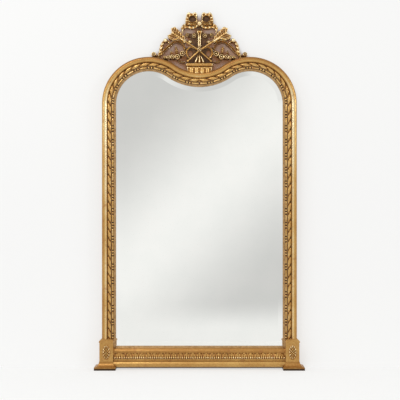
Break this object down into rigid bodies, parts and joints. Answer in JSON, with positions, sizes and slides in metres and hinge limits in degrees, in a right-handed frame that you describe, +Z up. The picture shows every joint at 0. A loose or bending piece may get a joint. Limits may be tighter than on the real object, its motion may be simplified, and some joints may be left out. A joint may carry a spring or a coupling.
{
  "type": "overmantel mirror",
  "caption": "Tall gilt overmantel mirror with a dipped, round-shouldered head, pierced carved crest, bevelled glass, plinth blocks and stepped feet.",
  "frame": {"origin": "on the shelf, under the middle of the part's box", "axes": "+X to the viewer's right, +Y towards the wall, +Z up"},
  "size_m": [1.045, 0.102, 1.7875],
  "materials": {
    "gilt_plain": "burnished water gilding over gesso",
    "gilt_carved": "worn matt gilding in the carving",
    "gilt_crest": "matt gilding over carved wood, bole showing",
    "crest_ground": "toned gilding",
    "frame_timber": "gilt at the front, toned pine at the sides and back",
    "mirror": "silvered glass with a ground bevel",
    "backing": "raw pine board",
    "glue_blocks": "raw pine",
    "steel": "aged zinc-plated steel",
    "hanger_brass": "brassed steel, dulled",
    "felt": "pressed felt"
  },
  "bodies": {
    "root": {"stile_left": "frame_timber", "stile_right": "frame_timber", "shoulder_left": "frame_timber", "shoulder_right": "frame_timber", "head_dip": "frame_timber", "bottom_rail": "frame_timber", "torus_left": "gilt_plain", "torus_right": "gilt_plain", "torus_head": "gilt_plain", "ribbon_left": "gilt_carved", "ribbon_right": "gilt_carved", "ribbon_head": "gilt_carved", "bead_left": "gilt_carved", "bead_right": "gilt_carved", "bead_head": "gilt_carved", "rail_ovolo": "gilt_plain", "rail_leaf_band": "gilt_carved", "rail_lower_torus": "gilt_plain", "plinth_block_left": "gilt_plain", "plinth_block_right": "gilt_plain", "plinth_cap_left": "gilt_plain", "plinth_cap_right": "gilt_plain", "patera_left": "gilt_carved", "patera_right": "gilt_carved", "foot_base_left": "gilt_plain", "foot_base_right": "gilt_plain", "mirror_glass": "mirror", "backing_board": "backing", "glue_blocks": "glue_blocks", "crest_ground": "crest_ground", "bow_left": "gilt_crest", "bow_right": "gilt_crest", "bow_knot": "gilt_crest", "torch_stem": "gilt_crest", "upper_berries": "gilt_crest", "arrow_left": "gilt_crest", "arrow_right": "gilt_crest", "centre_boss": "gilt_crest", "scroll_left": "gilt_crest", "scroll_right": "gilt_crest", "outer_leaf_left": "gilt_crest", "outer_leaf_right": "gilt_crest", "inner_scroll_left": "gilt_crest", "inner_scroll_right": "gilt_crest", "garland_left": "gilt_crest", "garland_right": "gilt_crest", "palmette": "gilt_crest", "basket_body": "gilt_crest", "basket_rim": "gilt_crest", "mending_plates": "steel", "screws": "steel", "hanger_left": "hanger_brass", "hanger_right": "hanger_brass", "wall_bumpers": "felt"},
    "ring_left": {"d_ring_left": "hanger_brass"},
    "ring_right": {"d_ring_right": "hanger_brass"}
  },
  "joints": [
    {"name": "ring_left_swing", "type": "hinge", "parent": "root", "child": "ring_left", "pos_m": [-0.45975, 0.04605, 1.18], "axis": [1, 0, 0], "range_deg": [0, 180]},
    {"name": "ring_right_swing", "type": "hinge", "parent": "root", "child": "ring_right", "pos_m": [0.45975, 0.04605, 1.18], "axis": [1, 0, 0], "range_deg": [0, 180]}
  ]
}
